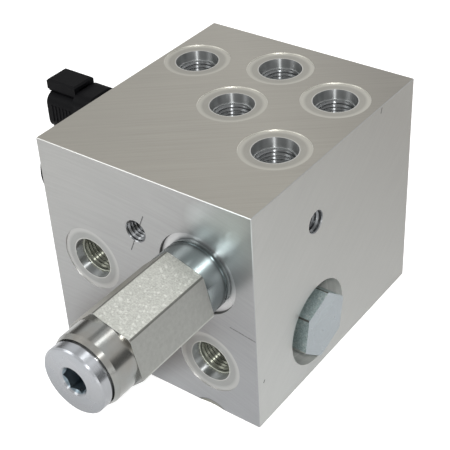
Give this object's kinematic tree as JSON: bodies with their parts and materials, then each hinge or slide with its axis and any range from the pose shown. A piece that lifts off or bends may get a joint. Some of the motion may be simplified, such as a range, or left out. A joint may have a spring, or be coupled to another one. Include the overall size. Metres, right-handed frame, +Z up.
{
  "type": "pilot valve",
  "caption": "Ported manifold block with screw-in relief, check and solenoid cartridges, and a connector coil on the left side.",
  "frame": {"origin": "middle of the block's bottom face", "axes": "+Z up through the top ports, +X out of the side with the recessed check cartridge, -Y out of the front with the long relief cartridge"},
  "size_m": [0.1514, 0.1632, 0.0889],
  "materials": {
    "block": "milled",
    "zinc": "zinc plated",
    "steel": "ground",
    "spring_steel": "drawn wire",
    "seal_rubber": "matt",
    "backup_ring": "smooth",
    "moulding": "moulded satin",
    "bobbin": "moulded",
    "copper": "enamelled wire",
    "tinned_brass": "tin plated"
  },
  "bodies": {
    "manifold": {"check_body": "zinc", "check_nose_backups": "backup_ring", "check_nose_seal": "seal_rubber", "check_port_seal": "seal_rubber", "check_seat": "steel", "check_spring": "spring_steel", "coil_bobbin": "bobbin", "coil_end_washer": "zinc", "coil_frame": "zinc", "coil_housing": "moulding", "coil_nut": "zinc", "coil_seals": "seal_rubber", "coil_terminals": "tinned_brass", "coil_winding": "copper", "gallery_plug_seals": "seal_rubber", "gallery_plugs": "zinc", "manifold_block": "block", "relief_body": "zinc", "relief_cage": "steel", "relief_end_plug": "zinc", "relief_nose_backups": "backup_ring", "relief_nose_seal": "seal_rubber", "relief_plug_seal": "seal_rubber", "relief_port_seal": "seal_rubber", "relief_shims": "steel", "relief_spring": "spring_steel", "relief_spring_seat": "steel", "solenoid_body": "zinc", "solenoid_cage": "steel", "solenoid_nose_backups": "backup_ring", "solenoid_nose_seal": "seal_rubber", "solenoid_pole": "steel", "solenoid_port_seal": "seal_rubber", "solenoid_spring": "spring_steel", "solenoid_spring_retainer": "steel", "solenoid_tube": "steel", "solenoid_tube_plug": "steel"},
    "relief_poppet": {"relief_poppet": "steel"},
    "check_poppet": {"check_poppet": "steel"},
    "solenoid_plunger": {"solenoid_spool": "steel", "solenoid_push_pin": "steel", "solenoid_armature": "steel"}
  },
  "joints": [
    {"name": "relief_lift", "type": "slide", "parent": "manifold", "child": "relief_poppet", "axis": [0, -1, 0], "range_m": [0, 0.0025], "stiffness_N_per_m": 29000, "springref_m": -0.008, "deforming": ["relief_spring"]},
    {"name": "check_lift", "type": "slide", "parent": "manifold", "child": "check_poppet", "axis": [1, 0, 0], "range_m": [0, 0.003], "stiffness_N_per_m": 1500, "springref_m": -0.003, "deforming": ["check_spring"]},
    {"name": "solenoid_stroke", "type": "slide", "parent": "manifold", "child": "solenoid_plunger", "axis": [1, 0, 0], "range_m": [0, 0.0022], "stiffness_N_per_m": 3100, "springref_m": -0.002, "deforming": ["solenoid_spring"]}
  ]
}
